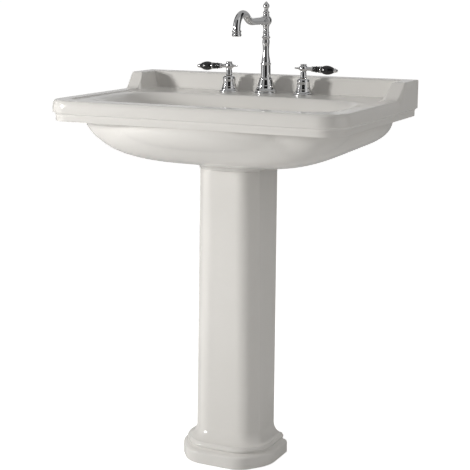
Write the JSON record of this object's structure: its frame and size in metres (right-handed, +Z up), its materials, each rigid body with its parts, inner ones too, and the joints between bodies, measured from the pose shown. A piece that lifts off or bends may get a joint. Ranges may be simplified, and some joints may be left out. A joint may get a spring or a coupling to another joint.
{
  "type": "pedestal wash basin",
  "caption": "Ceramic wash basin on a bevelled pedestal, with a turned swan-neck tap, two lever handles, a click waste and a bottle trap.",
  "frame": {"origin": "on the floor, under the middle of the basin's outline", "axes": "+X to the right as seen by the user, +Y towards the wall, +Z up"},
  "size_m": [0.73, 0.5, 1.092],
  "materials": {
    "glazed_ceramic": "gloss glaze",
    "chrome": "polished",
    "black_grip": "gloss",
    "brass": "machined",
    "copper": "drawn tube",
    "seal_rubber": "matt",
    "white_plastic": "moulded",
    "disc_ceramic": "ground and polished"
  },
  "bodies": {
    "sink": {"basin": "glazed_ceramic", "pedestal": "glazed_ceramic", "spout_flange": "chrome", "spout_column": "chrome", "spout_finial": "chrome", "spout_o_rings": "seal_rubber", "spout_gasket": "seal_rubber", "spout_washer": "seal_rubber", "spout_backnut": "brass", "feed_tee": "brass", "left_feed_pipe": "copper", "right_feed_pipe": "copper", "feed_pipe_nuts": "brass", "left_valve_body": "brass", "right_valve_body": "brass", "left_bell_cover": "chrome", "right_bell_cover": "chrome", "valve_gaskets": "seal_rubber", "valve_washers": "seal_rubber", "valve_backnuts": "brass", "ceramic_fixed_discs": "disc_ceramic", "left_cartridge": "brass", "right_cartridge": "brass", "waste_body": "chrome", "waste_seal": "seal_rubber", "waste_cartridge": "white_plastic", "waste_washer": "seal_rubber", "waste_backnut": "brass", "trap_inlet_nut": "chrome", "trap_inlet_tube": "chrome", "trap_body": "chrome", "trap_top_nut": "chrome", "trap_cup": "chrome", "trap_outlet_nut": "chrome"},
    "swivel_spout": {"spout_hub": "chrome", "spout_neck": "chrome", "spout_outlet_ring": "chrome", "aerator": "white_plastic"},
    "left_lever": {"left_spindle": "brass", "left_moving_disc": "disc_ceramic", "left_lever_hub": "chrome", "left_cap_button": "chrome", "left_grip_bead": "black_grip", "left_grip_ring": "chrome", "left_grip": "black_grip", "left_lever_tip": "chrome"},
    "right_lever": {"right_spindle": "brass", "right_moving_disc": "disc_ceramic", "right_lever_hub": "chrome", "right_cap_button": "chrome", "right_grip_bead": "black_grip", "right_grip_ring": "chrome", "right_grip": "black_grip", "right_lever_tip": "chrome"},
    "plug": {"waste_plug": "chrome", "waste_plug_seal": "seal_rubber"}
  },
  "joints": [
    {"name": "spout_swivel", "type": "hinge", "parent": "sink", "child": "swivel_spout", "pos_m": [0, 0.176, 1.046], "axis": [0, 0, 1], "range_deg": [-70, 70]},
    {"name": "left_lever_turn", "type": "hinge", "parent": "sink", "child": "left_lever", "pos_m": [-0.1, 0.176, 0.934], "axis": [0, 0, 1], "range_deg": [0, 90]},
    {"name": "right_lever_turn", "type": "hinge", "parent": "sink", "child": "right_lever", "pos_m": [0.1, 0.176, 0.934], "axis": [0, 0, 1], "range_deg": [-90, 0]},
    {"name": "plug_lift", "type": "slide", "parent": "sink", "child": "plug", "axis": [0, 0, 1], "range_m": [0, 0.007]}
  ]
}
